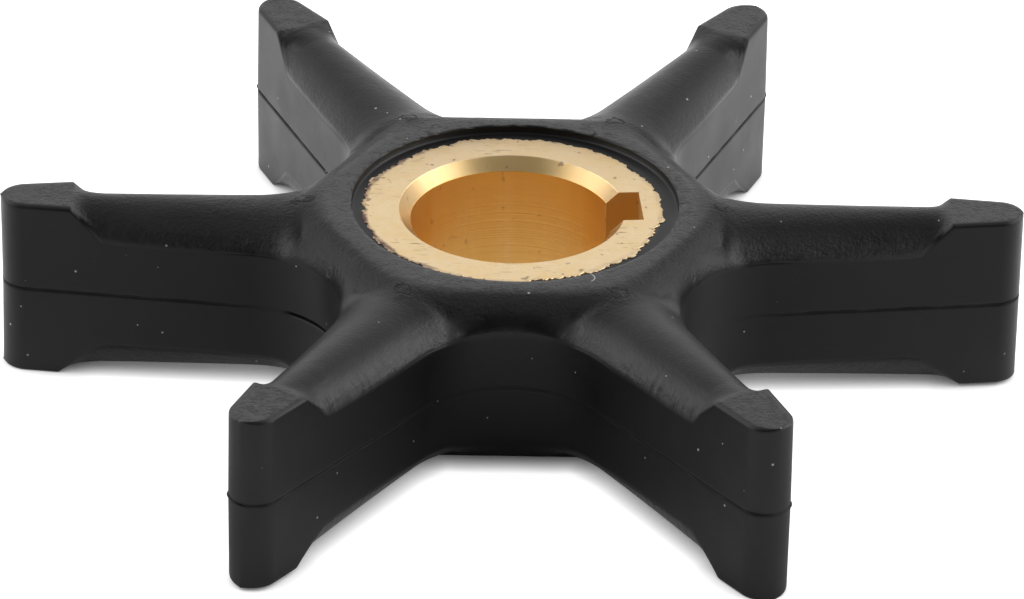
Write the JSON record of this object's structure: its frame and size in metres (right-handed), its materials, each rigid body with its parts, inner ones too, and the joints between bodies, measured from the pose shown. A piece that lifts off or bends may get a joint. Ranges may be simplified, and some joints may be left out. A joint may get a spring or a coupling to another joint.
{
  "type": "pump impeller",
  "caption": "Star-shaped rubber pump impeller with thick tapered vanes, flat end pads and a keyed brass bush moulded into the hub.",
  "frame": {"origin": "on the bore axis at the middle of the height, in the moulding's parting plane", "axes": "+Z along the bore, +X along one vane, the keyway a few degrees towards +Y from it"},
  "size_m": [0.0642, 0.056, 0.012],
  "materials": {
    "rubber": "matte black moulded rubber, fine grain on the tops, smoother flanks",
    "brass": "faced ends with fine scratches, bright bore chamfer, darker turned bore"
  },
  "bodies": {
    "root": {"rubber_impeller": "rubber", "brass_bush": "brass"}
  },
  "joints": []
}
